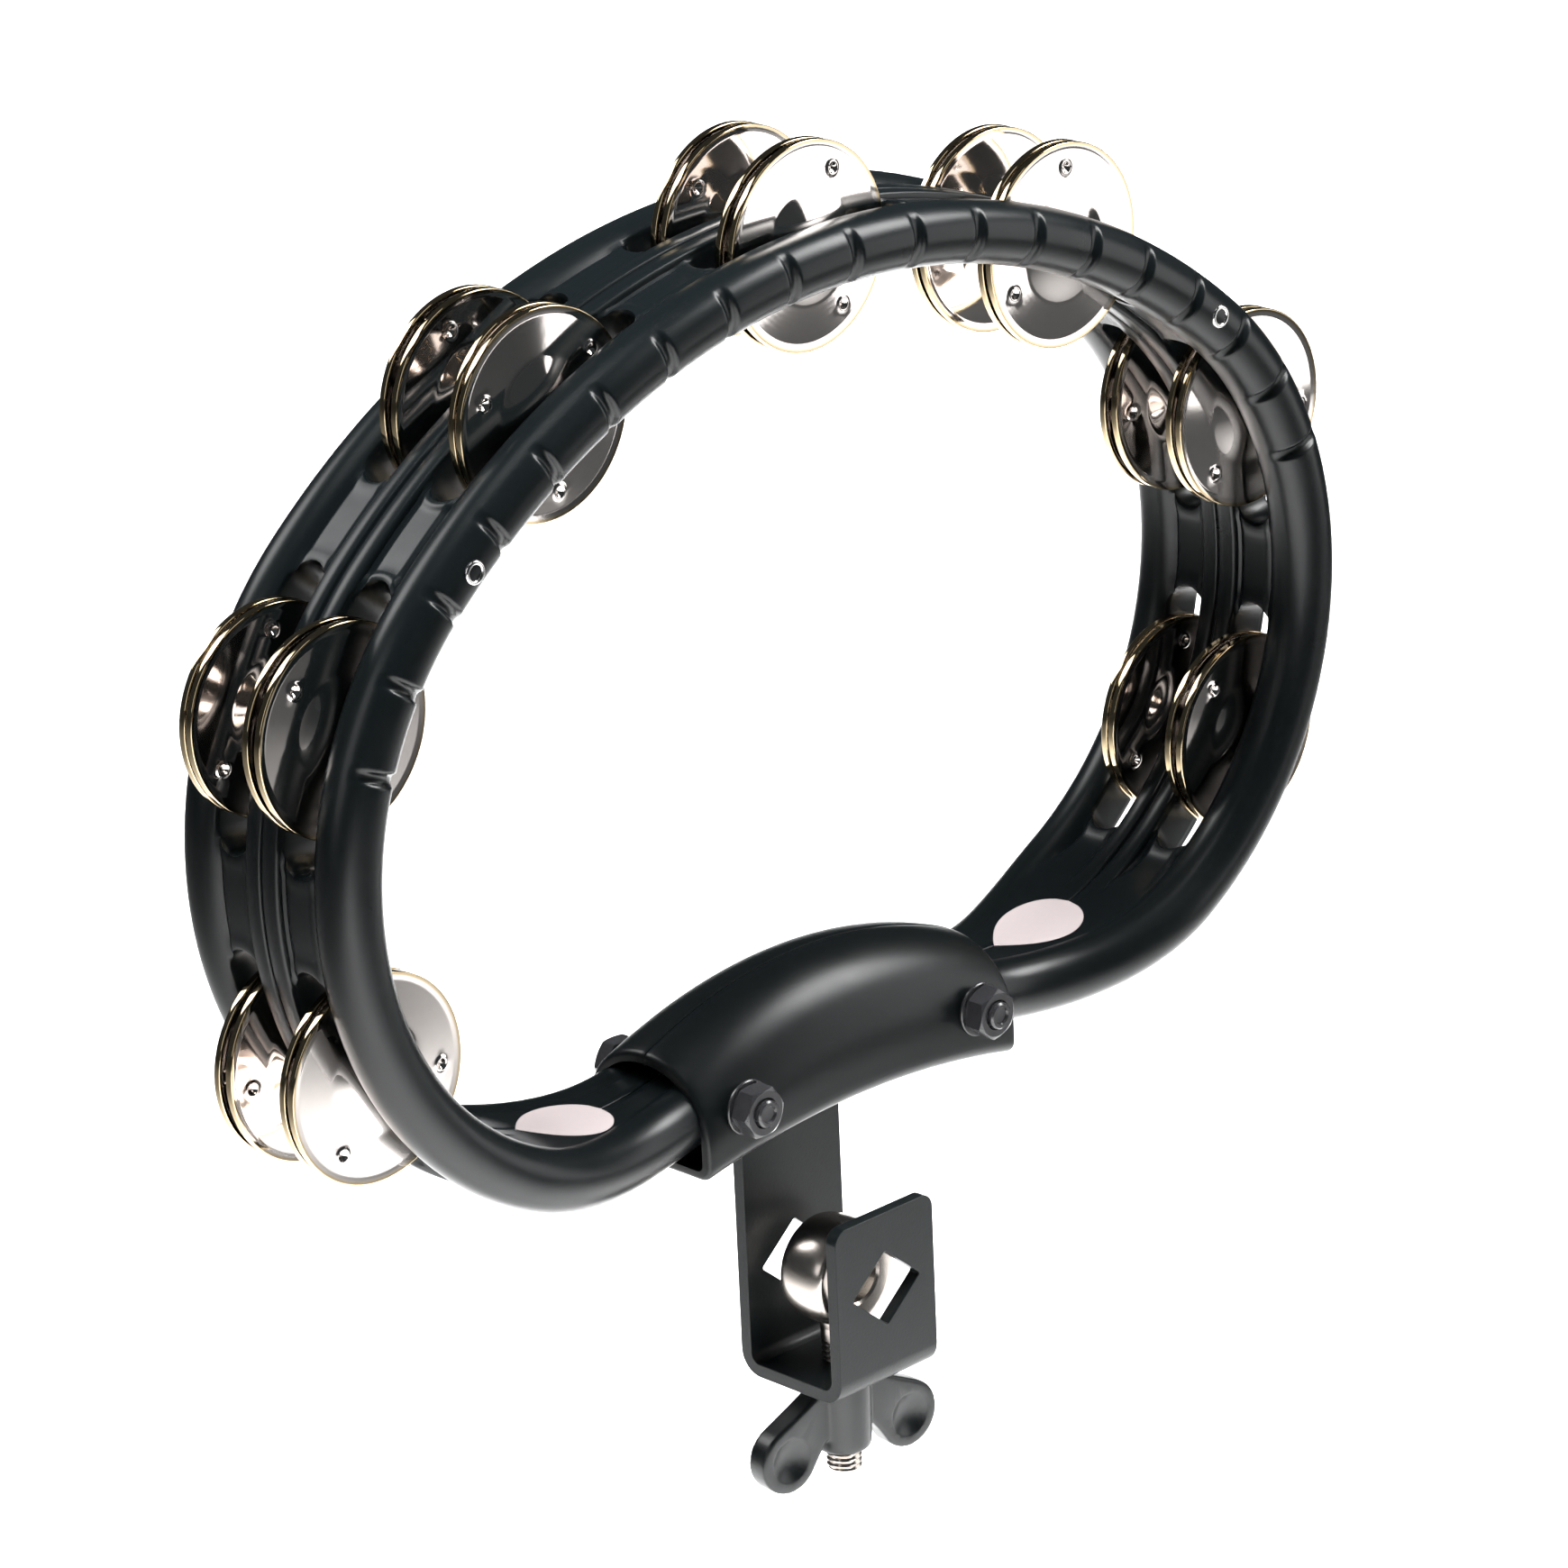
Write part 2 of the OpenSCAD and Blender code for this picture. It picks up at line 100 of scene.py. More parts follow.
def rail(s):
    """Centre line point and outward normal in XZ, at arc length s from the top towards +X."""
    t = abs(s)
    if t <= S_TOP:
        a = t / TOP_R
        x, z, nx, nz = TOP_R * math.sin(a), TOP_CZ + TOP_R * math.cos(a), math.sin(a), math.cos(a)
    elif t <= S_SIDE:
        a = TOP_HALF + (t - S_TOP) / SIDE_R
        x, z, nx, nz = SIDE_X + SIDE_R * math.sin(a), SIDE_Z + SIDE_R * math.cos(a), math.sin(a), math.cos(a)
    else:
        a = TUCK - (t - S_SIDE) / GRIP_R
        x, z, nx, nz = GRIP_R * math.sin(a), GRIP_CZ + GRIP_R * math.cos(a), -math.sin(a), -math.cos(a)
    return (x, z, nx, nz) if s >= 0 else (-x, z, -nx, nz)


def at(s, q, d, face=1):
    """Point at arc length s, q outwards from the centre line, d from the mid-plane (face 1 = front)."""
    x, z, nx, nz = rail(s)
    return Vector((x + q * nx, MID_Y - face * d, z + q * nz)) * MM


# ---- mesh helpers

# half the angle of a corner too blunt to be rounded
NEARLY_STRAIGHT = math.radians(88)


def new_object(name, verts, faces, material=None, angle=32):
    mesh = bpy.data.meshes.new(name)
    mesh.from_pydata([tuple(v) for v in verts], [], faces)
    mesh.validate()
    obj = bpy.data.objects.new(name, mesh)
    bpy.context.scene.collection.objects.link(obj)
    finish_mesh(obj, angle)
    if material:
        mesh.materials.append(material)
    return obj


def finish_mesh(obj, angle=32):
    """Welds double points, turns faces outwards and shades smooth, with edges above angle kept sharp."""
    mesh = obj.data
    bm = bmesh.new()
    bm.from_mesh(mesh)
    bmesh.ops.remove_doubles(bm, verts=bm.verts, dist=WELD)
    bmesh.ops.recalc_face_normals(bm, faces=bm.faces)
    bm.to_mesh(mesh)
    bm.free()
    for poly in mesh.polygons:
        poly.use_smooth = True
    mesh.set_sharp_from_angle(angle=math.radians(angle))


def grid_faces(rows, cols, wrap_rows=False, wrap_cols=True):
    """Quads between neighbouring rows of cols points each."""
    faces = []
    for i in range(rows if wrap_rows else rows - 1):
        for j in range(cols if wrap_cols else cols - 1):
            a, b = i * cols + j, i * cols + (j + 1) % cols
            c, d = ((i + 1) % rows) * cols + (j + 1) % cols, ((i + 1) % rows) * cols + j
            faces.append((a, b, c, d))
    return faces


def revolve(name, profile, steps=96, wobble=None, closed=True):
    """Turns a profile of (radius, height) in mm about Z. wobble(angle, r, z) may change a point.

    A profile that isn't closed runs from axis to axis, and its two ends are filled."""
    verts = []
    n = len(profile)
    for k in range(steps):
        a = 2 * math.pi * k / steps
        for r, z in profile:
            if wobble:
                r, z = wobble(a, r, z)
            verts.append(Vector((r * math.cos(a), r * math.sin(a), z)) * MM)
    faces = grid_faces(steps, n, wrap_rows=True, wrap_cols=closed)
    if not closed:
        faces.append([k * n for k in range(steps)])
        faces.append([k * n + n - 1 for k in range(steps)][::-1])
    return new_object(name, verts, faces)


def rounded(points, radius, steps=5):
    """Rounds the corners of a closed outline, with one radius for all corners or a list of them."""
    out = []
    n = len(points)
    for i in range(n):
        p, q, r = Vector(points[i - 1]), Vector(points[i]), Vector(points[(i + 1) % n])
        rad = radius[i] if isinstance(radius, (list, tuple)) else radius
        u, v = (p - q).normalized(), (r - q).normalized()
        half = math.acos(max(-1, min(1, u.dot(v)))) / 2
        if rad <= 0 or half > NEARLY_STRAIGHT:
            out.append(tuple(q))
            continue
        cut = rad / math.tan(half)
        centre = q + (u + v).normalized() * (rad / math.sin(half))
        start, stop = q + u * cut - centre, q + v * cut - centre
        for k in range(steps + 1):
            t = k / steps
            w = start.lerp(stop, t).normalized() * rad
            out.append(tuple(centre + w))
    return out


def cut_away(obj, cutter):
    """Takes the cutter's volume out of the object, and removes the cutter."""
    mod = obj.modifiers.new("cut", "BOOLEAN")
    mod.operation, mod.solver, mod.object = "DIFFERENCE", "EXACT", cutter
    apply_modifiers(obj)
    bpy.data.objects.remove(cutter)


def apply_modifiers(obj):
    """Replaces the mesh by the one that the modifiers make."""
    bpy.context.view_layer.update()
    deps = bpy.context.evaluated_depsgraph_get()
    mesh = bpy.data.meshes.new_from_object(obj.evaluated_get(deps))
    obj.modifiers.clear()
    old = obj.data
    obj.data = mesh
    mesh.name = old.name
    bpy.data.meshes.remove(old)


def place(obj, material, body, nodes):
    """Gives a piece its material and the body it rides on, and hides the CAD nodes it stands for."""
    obj.data.materials.clear()
    obj.data.materials.append(material)
    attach(obj, body)
    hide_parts(*nodes)


# ---- materials

# how much wider the broad pattern of roughness is than the fine grain
BROAD = 30
LEAST_ROUGH = 0.02
BUMP_HEIGHT = 0.0001


def edge_tint(nodes, links, coords, colour, tint, tint_at):
    """Blends the colour into the worn golden tone of the plated edge, by distance from the disc's axis."""
    length = nodes.new("ShaderNodeVectorMath")
    length.operation = "LENGTH"
    flat = nodes.new("ShaderNodeVectorMath")
    flat.operation = "MULTIPLY"
    flat.inputs[1].default_value = (1, 1, 0)
    links.new(coords.outputs["Object"], flat.inputs[0])
    links.new(flat.outputs["Vector"], length.inputs[0])
    edge = nodes.new("ShaderNodeMapRange")
    edge.inputs["From Min"].default_value = tint_at[0] * MM
    edge.inputs["From Max"].default_value = tint_at[1] * MM
    links.new(length.outputs["Value"], edge.inputs["Value"])
    over = nodes.new("ShaderNodeMix")
    over.data_type = "RGBA"
    over.inputs[7].default_value = (*tint, 1)
    links.new(edge.outputs["Result"], over.inputs[0])
    links.new(colour, over.inputs[6])
    return over.outputs[2]


def spun_rings(nodes, links, coords, grain, amount):
    """Adds the fine rings left by spinning the disc to the height of the grain."""
    rings = nodes.new("ShaderNodeTexWave")
    rings.wave_type = "RINGS"
    rings.rings_direction = "Z"
    rings.inputs["Scale"].default_value = 260
    rings.inputs["Distortion"].default_value = 1.2
    links.new(coords.outputs["Object"], rings.inputs["Vector"])
    blend = nodes.new("ShaderNodeMath")
    blend.operation = "MULTIPLY_ADD"
    blend.inputs[1].default_value = amount
    links.new(rings.outputs["Fac"], blend.inputs[0])
    links.new(grain, blend.inputs[2])
    return blend.outputs["Value"]


def node_material(name, base, rough, metallic=0.0, bump=0.0, scale=900.0, vary=0.3, rough_vary=0.12,
                  specular=0.5, tint=None, tint_at=None, spun=0.0):
    """Surface with fine grain in colour and height, and broad changes in roughness."""
    mat = bpy.data.materials.new(name)
    mat.use_nodes = True
    tree = mat.node_tree
    nodes, links = tree.nodes, tree.links
    shader = nodes["Principled BSDF"]
    shader.inputs["Metallic"].default_value = metallic
    shader.inputs["Specular IOR Level"].default_value = specular
    coords = nodes.new("ShaderNodeTexCoord")
    fine = nodes.new("ShaderNodeTexNoise")
    fine.inputs["Scale"].default_value = scale
    fine.inputs["Detail"].default_value = 6
    broad = nodes.new("ShaderNodeTexNoise")
    broad.inputs["Scale"].default_value = scale / BROAD
    broad.inputs["Detail"].default_value = 3
    for tex in (fine, broad):
        links.new(coords.outputs["Object"], tex.inputs["Vector"])
    ramp = nodes.new("ShaderNodeMapRange")
    ramp.inputs["To Min"].default_value = max(rough - rough_vary / 2, LEAST_ROUGH)
    ramp.inputs["To Max"].default_value = rough + rough_vary / 2
    links.new(broad.outputs["Fac"], ramp.inputs["Value"])
    links.new(ramp.outputs["Result"], shader.inputs["Roughness"])
    mix = nodes.new("ShaderNodeMix")
    mix.data_type = "RGBA"
    dark = [c * (1 - vary / 2) for c in base]
    light = [min(c * (1 + vary / 2), 1) for c in base]
    mix.inputs[6].default_value = (*dark, 1)
    mix.inputs[7].default_value = (*light, 1)
    links.new(fine.outputs["Fac"], mix.inputs[0])
    colour = mix.outputs[2]
    if tint is not None:
        colour = edge_tint(nodes, links, coords, colour, tint, tint_at)
    links.new(colour, shader.inputs["Base Color"])
    height = fine.outputs["Fac"]
    if spun:
        height = spun_rings(nodes, links, coords, height, spun)
    if bump:
        node = nodes.new("ShaderNodeBump")
        node.inputs["Strength"].default_value = bump
        node.inputs["Distance"].default_value = BUMP_HEIGHT
        links.new(height, node.inputs["Height"])
        links.new(node.outputs["Normal"], shader.inputs["Normal"])
    return mat


PLASTIC = node_material("moulded_black", (0.0026, 0.0038, 0.0043), 0.30, bump=0.10, scale=2600,
                        specular=0.36)
GRIP = node_material("grip_black", (0.0026, 0.0036, 0.0040), 0.33, bump=0.12, scale=2400, specular=0.36)
COAT = node_material("powder_coat", (0.0040, 0.0058, 0.0064), 0.36, bump=0.30, scale=1500, specular=0.34)
BOLT = node_material("blackened_steel", (0.02, 0.02, 0.022), 0.24, bump=0.12, scale=1800, specular=0.7)
WING = node_material("wing_nut_black", (0.0034, 0.0048, 0.0053), 0.32, bump=0.25, scale=1300,
                     specular=0.55)
PIN = node_material("dark_pin", (0.03, 0.028, 0.026), 0.3, metallic=0.6, bump=0.1, scale=1800)
NICKEL = node_material("jingle_nickel", (0.86, 0.80, 0.76), 0.07, metallic=1.0, bump=0.03, scale=500,
                       vary=0.06, rough_vary=0.04, tint=(0.62, 0.49, 0.31), tint_at=(21.2, 21.7), spun=0.12)
EYE_NICKEL = node_material("eye_nickel", (0.66, 0.60, 0.55), 0.24, metallic=1.0, bump=0.12, scale=900,
                           vary=0.1, rough_vary=0.1)
RIVET = node_material("rivet_steel", (0.78, 0.77, 0.75), 0.2, metallic=1.0, bump=0.08, scale=1200, vary=0.1)
LABEL = node_material("label_film", (0.40, 0.35, 0.35), 0.3, bump=0.03, scale=700, vary=0.04,
                      rough_vary=0.06)


# ---- the hoop

def taper(s):
    """Distance of the bead's centre from the mid-plane; it falls as the frame narrows into the grip."""
    x, z = rail(s)[:2]
    inner = COVER_Y - COVER_WALL - COVER_GAP - BEAD_R
    if z > SIDE_Z:
        return BEAD_Y
    return inner + (BEAD_Y - inner) * smooth((abs(x) - COVER_HALF + TAPER_INSIDE) / TAPER_LEN)


def slot_span(k):
    """Ends of slot k's straight part along the rail; the two lowest slots run a little further down."""
    run = SLOT_LEN / 2 - SLOT_W / 2
    low = k * STATION_PITCH - run - (LOW_SLOT_EXTRA if k == -LAST_STATION else 0)
    high = k * STATION_PITCH + run + (LOW_SLOT_EXTRA if k == LAST_STATION else 0)
    return low, high


def slot_distance(s, d):
    """Distance outside the nearest slot's outline, negative inside it, in the rail's own plane."""
    spans = [slot_span(k) for k in STATIONS]
    return min(math.hypot(max(low - s, s - high, 0.0), d - ROW_Y) - SLOT_W / 2 for low, high in spans)


def end_window(s):
    """1 beyond a slot's straight part, 0 along it, so that lips form only at the round ends."""
    spans = [slot_span(k) for k in STATIONS]
    beyond = min(max(low - s, s - high) for low, high in spans)
    return smooth((beyond + 1) / 3)


def flush(s):
    """0 along the slotted part of the hoop, 1 near the grip, where web and rib run out into a flat floor."""
    after_slot, run_out = 8, 16
    return smooth((abs(s) - LAST_STATION * STATION_PITCH - SLOT_LEN / 2 - after_slot) / run_out)


def land_height(s, d):
    """Height of the land above the web: faint lips round the slot ends and grooves along the sides."""
    lip_high, lip_middle, lip_wide = 0.4, 1.3, 1.1
    groove_deep, groove_wide, by_rib, by_bead = 0.6, 0.5, 0.7, 5.6
    gap = slot_distance(s, d)
    lip = lip_high * math.exp(-((gap - lip_middle) / lip_wide) ** 2) * end_window(s)
    side = min(abs(d - (MID_W + by_rib)), abs(d - (BEAD_Y - by_bead)))
    groove = -groove_deep * math.exp(-(side / groove_wide) ** 2)
    return (lip + groove) * (1 - flush(s)) + (MID_Q - WEB_Q) * flush(s)


def notch_depth(s, phi):
    """How deep the nearest notch cuts the bead at section angle phi."""
    k = round(s / NOTCH_PITCH)
    if abs(k) > NOTCHES:
        return 0.0
    deep, half_wide, middle, reach = 1.35, 1.25, math.radians(100), math.radians(52)
    along = (s - k * NOTCH_PITCH) / half_wide
    across = (phi - middle) / reach
    return deep * math.exp(-along ** 4) * math.exp(-across ** 4)


def rail_section(s, notched):
    """Half section as (q, d) points, from the outer seam round the bead to the inner seam."""
    bead_d = taper(s)
    flat = flush(s)
    join_q = WEB_Q + (MID_Q - WEB_Q) * flat
    web_end = BEAD_Y - math.sqrt(BEAD_R ** 2 - WEB_Q ** 2)
    squeeze = (bead_d - math.sqrt(BEAD_R ** 2 - join_q ** 2) - MID_W) / (web_end - MID_W)
    dip = 1 - flat
    # the parting seam's shallow groove, the flat top of the middle rail, then its rounded shoulder
    outer = [(MID_Q - 0.8 + 0.35 * flat, 0.0), (MID_Q - 0.75 + 0.35 * flat, 0.35 - 0.15 * flat),
             (MID_Q - 0.25 + 0.15 * flat, 0.5 - 0.2 * flat), (MID_Q, 0.8 - 0.35 * flat),
             (MID_Q, 2.4), (MID_Q, 4.1), (MID_Q - 0.25 * dip, 4.5), (MID_Q - 0.7 * dip, 4.75)]
    steps = 18
    across = [MID_W + (web_end - MID_W) * i / steps for i in range(steps)]
    web = [(WEB_Q + land_height(s, d), MID_W + (d - MID_W) * squeeze) for d in across]
    points = outer + web
    start = math.acos(join_q / BEAD_R)
    turns = 40
    for i in range(turns + 1):
        phi = -start + (math.pi + 2 * start) * i / turns
        r = BEAD_R - (notch_depth(s, phi) if notched else 0.0)
        points.append((r * math.cos(phi), bead_d + r * math.sin(phi)))
    points += [(-q, d) for q, d in (outer + web)[::-1]]
    return points


def rail_stations(notched):
    """Arc lengths of the loft's sections: even, with more at the notches."""
    step, fine, each_side, kept_off = 1.5, 0.36, 6, 2.4
    base = [i * step for i in range(int(S_HALF / step) + 1)]
    if notched:
        for k in range(NOTCHES + 1):
            base = [b for b in base if abs(b - k * NOTCH_PITCH) > kept_off]
            base += [k * NOTCH_PITCH + j * fine for j in range(-each_side, each_side + 1)]
    base = sorted(b for b in base if 0 <= b < S_HALF - 0.5) + [S_HALF]
    left = [-b for b in base if 0 < b < S_HALF]
    return base + sorted(left)


def slot_cutter(k, face):
    """Stadium prism that follows the rail, flared at the web's two faces so that its edges are soft."""
    half = SLOT_W / 2
    low, high = slot_span(k)
    straights, arcs, cross_flare = 24, 12, 0.4
    outline = []
    for side, start, stop in ((1, low, high), (-1, high, low)):
        outline += [(start + (stop - start) * j / straights, -side * half, 0, -side)
                    for j in range(straights + 1)]
        for j in range(1, arcs):
            a = -math.pi / 2 + math.pi * j / arcs
            nu, nv = math.cos(a) * side, math.sin(a) * side
            outline.append((stop + half * nu, half * nv, nu, nv))
    levels = [(-13, 0.6), (-5.0, 0.6), (-4.6, 0.4), (-4.2, 0.15), (-3.7, 0.0),
              (3.7, 0.0), (4.2, 0.15), (4.6, 0.4), (5.0, 0.6), (13, 0.6)]
    verts = []
    for q, flare in levels:
        for u, v, nu, nv in outline:
            verts.append(at(u + flare * nu, q, ROW_Y + v + flare * nv * cross_flare, face))
    n = len(outline)
    faces = grid_faces(len(levels), n)
    faces += [list(range(n))[::-1], list(range((len(levels) - 1) * n, len(levels) * n))]
    return verts, faces


def frame_half(name, node, face, notched):
    """One half of the hoop, lofted along the rail, with its row of slots cut through."""
    stations = rail_stations(notched)
    sections = [rail_section(s, notched) for s in stations]
    cols = len(sections[0])
    verts = [at(s, q, d, face) for s, sec in zip(stations, sections) for q, d in sec]
    obj = new_object(name, verts, grid_faces(len(stations), cols, wrap_rows=True), angle=40)
    cut_v, cut_f = [], []
    for k in STATIONS:
        v, f = slot_cutter(k, face)
        cut_f += [[i + len(cut_v) for i in poly] for poly in f]
        cut_v += v
    cut_away(obj, new_object(name + "_cutter", cut_v, cut_f))
    finish_mesh(obj, 40)
    place(obj, PLASTIC, ROOT, [node])


frame_half("frame_front_shell", "frame_front_half", 1, True)
frame_half("frame_rear_shell", "frame_rear_half", -1, False)


# ---- rivets and pins

PIN_R, PIN_HOLD, RIVET_SINK = 1.5, 5, 0.1


def stand_on_y(obj, x, y, z, face=1):
    """Turns a piece made about Z so that its top looks towards the front (face 1) or the back."""
    turn = Matrix.Rotation(math.radians(90 * face), 4, "X")
    obj.data.transform(Matrix.Translation(Vector((x, y, z)) * MM) @ turn)
    return obj


def join(objs, name):
    """One object from the meshes of several, which are removed."""
    bm = bmesh.new()
    for o in objs:
        bm.from_mesh(o.data)
    mesh = bpy.data.meshes.new(name)
    bm.to_mesh(mesh)
    bm.free()
    for o in objs:
        bpy.data.objects.remove(o)
    out = bpy.data.objects.new(name, mesh)
    bpy.context.scene.collection.objects.link(out)
    finish_mesh(out, 32)
    return out


def eyelet():
    """Rolled rim of a tubular rivet, its top at height 0."""
    depth, roll_r, roll_at, steps = 9, 0.5, (2.05, -0.1), 10
    ring = [(1.55, -depth)]
    for j in range(steps + 1):
        a = math.pi * j / steps
        ring.append((roll_at[0] - roll_r * math.cos(a), roll_at[1] + roll_r * math.sin(a)))
    ring += [(2.5, -1.2), (1.9, -1.4), (1.9, -depth)]
    return revolve("eyelet", ring, 48)


rims = []
for s in (-RIVET_S, RIVET_S):
    x, z = rail(s)[:2]
    for face in (1, -1):
        rims.append(stand_on_y(eyelet(), x, MID_Y - face * (BEAD_Y + BEAD_R - RIVET_SINK), z, face))
place(join(rims, "rivet_rims"), RIVET, ROOT, ["frame_rivets"])

pins = []
for k in STATIONS:
    x, z = rail(k * STATION_PITCH)[:2]
    half = ROW_Y + SLOT_W / 2 + PIN_HOLD
    body = [(0.0, -half), (1.3, -half), (PIN_R, -half + 0.2), (PIN_R, half - 0.2), (1.3, half), (0.0, half)]
    pins.append(stand_on_y(revolve("pin", body, 32, closed=False), x, MID_Y, z))
place(join(pins, "jingle_pin_set"), PIN, ROOT, ["jingle_pins"])


# ---- jingles

DIMPLE_ANGLES = (90, 210, 330)
# how far a disc's rim plane stands from the middle of its row; the CAD has 1.5
DISC_OFFSET = 1.75


def disc_height(r):
    """Height of a disc's inner skin at radius r: slightly dished flange, soft shoulder, rounded dome."""
    flange, crown, top, dish, power = 12.2, 1.6, 2.15, 0.06, 1.2
    if r >= flange:
        return (flange - r) * dish
    t = (flange - r) / (flange - crown)
    return top * math.sin(min(t, 1.0) * math.pi / 2) ** power


def dimple(r, a):
    """Punched crater with a raised lip, at each of the dimple angles on the flange."""
    place_r = 16.9
    pit_deep, pit_r, lip_high, lip_r, lip_wide = 0.62, 0.75, 0.34, 1.35, 0.42
    near = min(math.hypot(r * math.cos(a) - place_r * math.cos(b), r * math.sin(a) - place_r * math.sin(b))
               for b in (math.radians(degrees) for degrees in DIMPLE_ANGLES))
    pit = -pit_deep * math.exp(-(near / pit_r) ** 2)
    return pit + lip_high * math.exp(-((near - lip_r) / lip_wide) ** 2)


def disc_mesh():
    """One disc about Z, domed towards +Z, with a rolled rim wall; finer near the dimples."""
    hole, thick = 1.65, 0.75
    fine, each_side, coarse_steps = 0.9, 8, 22
    reach = 7.2
    angles = []
    for middle in DIMPLE_ANGLES:
        angles += [middle + j * fine for j in range(-each_side, each_side + 1)]
        angles += [middle + reach + (120 - 2 * reach) * j / coarse_steps for j in range(1, coarse_steps)]
    angles = [math.radians(a) for a in sorted(a % 360 for a in angles)]
    radii = [hole, 2.0, 2.6, 3.4, 4.2, 5, 6, 7, 8, 9, 10, 10.8, 11.4, 11.9, 12.3, 12.9, 13.6, 14.4]
    radii += [14.9 + 0.26 * j for j in range(16)] + [19.4, 20.2, 20.8]
    profile = [(r, disc_height(r) + thick, True) for r in radii]
    low, high, soft, turn = -1.15, 0.55, 0.3, 18
    for centre, first in ((high - soft, 90), (low + soft, 0)):
        for a in (math.radians(first - turn * j) for j in range(6)):
            profile.append((DISC_R - soft + soft * math.cos(a), centre + soft * math.sin(a), False))
    profile += [(21.35, low, False), (21.1, low + 0.2, False), (21.05, -0.6, False)]
    profile += [(r, disc_height(r), True) for r in radii[::-1]]
    verts = []
    for a in angles:
        for r, h, punched in profile:
            if punched:
                h += dimple(r, a)
            verts.append(Vector((r * math.cos(a), r * math.sin(a), h)) * MM)
    faces = grid_faces(len(angles), len(profile), wrap_rows=True)
    return new_object("jingle_disc", verts, faces, NICKEL, angle=50)


def hang_disc(mesh, k, row, side):
    """Hangs a disc at station k, 1 at the +X end to 7 at the other, leaned and turned by a fixed pattern."""
    node = f"jingle_{k}_{row}_{side}"
    face = 1 if row == "front" else -1
    out = face if side == "outer" else -face
    x, z = rail((LAST_STATION + 1 - k) * STATION_PITCH)[:2]
    lean = math.radians(1.0 * math.sin(5.1 * k + 2.3 * out + face))
    roll = math.radians(1.2 * math.cos(3.7 * k + 1.1 * out + 2 * face))
    spin = math.radians((97 * k + 41 * out + 23 * face) % 120)
    disc = bpy.data.objects.new("disc_" + node.removeprefix("jingle_"), mesh)
    bpy.context.scene.collection.objects.link(disc)
    turn = Matrix.Rotation(math.radians(90 * out), 4, "X")
    tilt = Matrix.Rotation(lean, 4, "X") @ Matrix.Rotation(roll, 4, "Z")
    spot = Vector((x, MID_Y - face * ROW_Y - out * DISC_OFFSET, z)) * MM
    disc.matrix_world = Matrix.Translation(spot) @ tilt @ turn @ Matrix.Rotation(spin, 4, "Z")
    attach(disc, node)
    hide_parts(node)


pattern = disc_mesh()
for k in range(1, len(STATIONS) + 1):
    for row in ("front", "rear"):
        for side in ("outer", "inner"):
            hang_disc(pattern.data, k, row, side)
bpy.data.objects.remove(pattern)


# ---- grip cover

def cover_top(x):
    return COVER_TOP - COVER_TOP_R + math.sqrt(COVER_TOP_R ** 2 - x * x)


def cover_low(x):
    return GRIP_CZ + math.sqrt(COVER_LOW_R ** 2 - x * x)


def cover_section(x, inset, depth):
    """Half section as (d, z), from the top seam over a full rounded shoulder to the bottom seam."""
    top, low = cover_top(x) - inset, cover_low(x) + inset
    depth = depth - inset
    drop, power, small = (top - low) * 0.74, 2.15, 3.0 - inset * 0.6
    shoulder_steps, side_steps, low_steps, seam_w = 22, 4, 7, 0.6
    points = [(0.0, top - 0.5), (0.14, top - 0.12), (0.4, top)]
    for j in range(1, shoulder_steps + 1):
        a = math.pi / 2 * j / shoulder_steps
        d, z = depth * math.sin(a) ** (2 / power), top - drop + drop * math.cos(a) ** (2 / power)
        if d > seam_w:
            points.append((d, z))
    for j in range(1, side_steps):
        points.append((depth, (top - drop) + ((low + small) - (top - drop)) * j / side_steps))
    for j in range(low_steps + 1):
        a = -math.pi / 2 * j / low_steps
        points.append((depth - small + small * math.cos(a), low + small + small * math.sin(a)))
    points += [(0.3, low), (0.0, low + 0.2)]
    return points


def cover_shell(name, node, face):
    """A tray with soft end edges: the outer skin, a rounded end rim, then the inner skin."""
    soft, steps = 1.0, 60
    xs = [-COVER_HALF + soft + (2 * (COVER_HALF - soft)) * i / steps for i in range(steps + 1)]

    def ring(x, inset):
        return [Vector((x, MID_Y - face * d, z)) * MM for d, z in cover_section(x, inset, COVER_Y)]

    ends = [math.radians(a) for a in (90, 67, 45, 22, 0)]
    rows = [ring(-COVER_HALF + soft - soft * math.cos(a), soft - soft * math.sin(a)) for a in ends[::-1]]
    rows += [ring(x, 0.0) for x in xs[1:-1]]
    rows += [ring(COVER_HALF - soft + soft * math.cos(a), soft - soft * math.sin(a)) for a in ends]
    rows.append(ring(COVER_HALF, COVER_WALL))
    rows += [ring(x, COVER_WALL) for x in xs[::-1]]
    rows.append(ring(-COVER_HALF, COVER_WALL))
    cols = len(rows[0])
    verts = [v for row in rows for v in row]
    faces = grid_faces(len(rows), cols, wrap_rows=True, wrap_cols=False)
    # close the two seam edges between the outer and inner skins
    n = len(rows)
    half = n // 2
    for col in (0, cols - 1):
        for i in range(half - 1):
            j = n - 1 - i
            faces.append((i * cols + col, (i + 1) * cols + col, (j - 1) * cols + col, j * cols + col))
    obj = new_object(name, verts, faces, angle=38)
    place(obj, GRIP, ROOT, [node])


cover_shell("grip_front_shell", "grip_cover_front", 1)
cover_shell("grip_rear_shell", "grip_cover_rear", -1)


# ---- fasteners of the grip

HEX_AF, NUT_H, HEAD_H, WASHER_T = 10, 5, 4, 0.8


def hex_radius(a, af):
    """Radius at angle a of a hexagon with the distance af across its flats."""
    sector = math.pi / 3
    return af / 2 / math.cos((a % sector) - sector / 2)


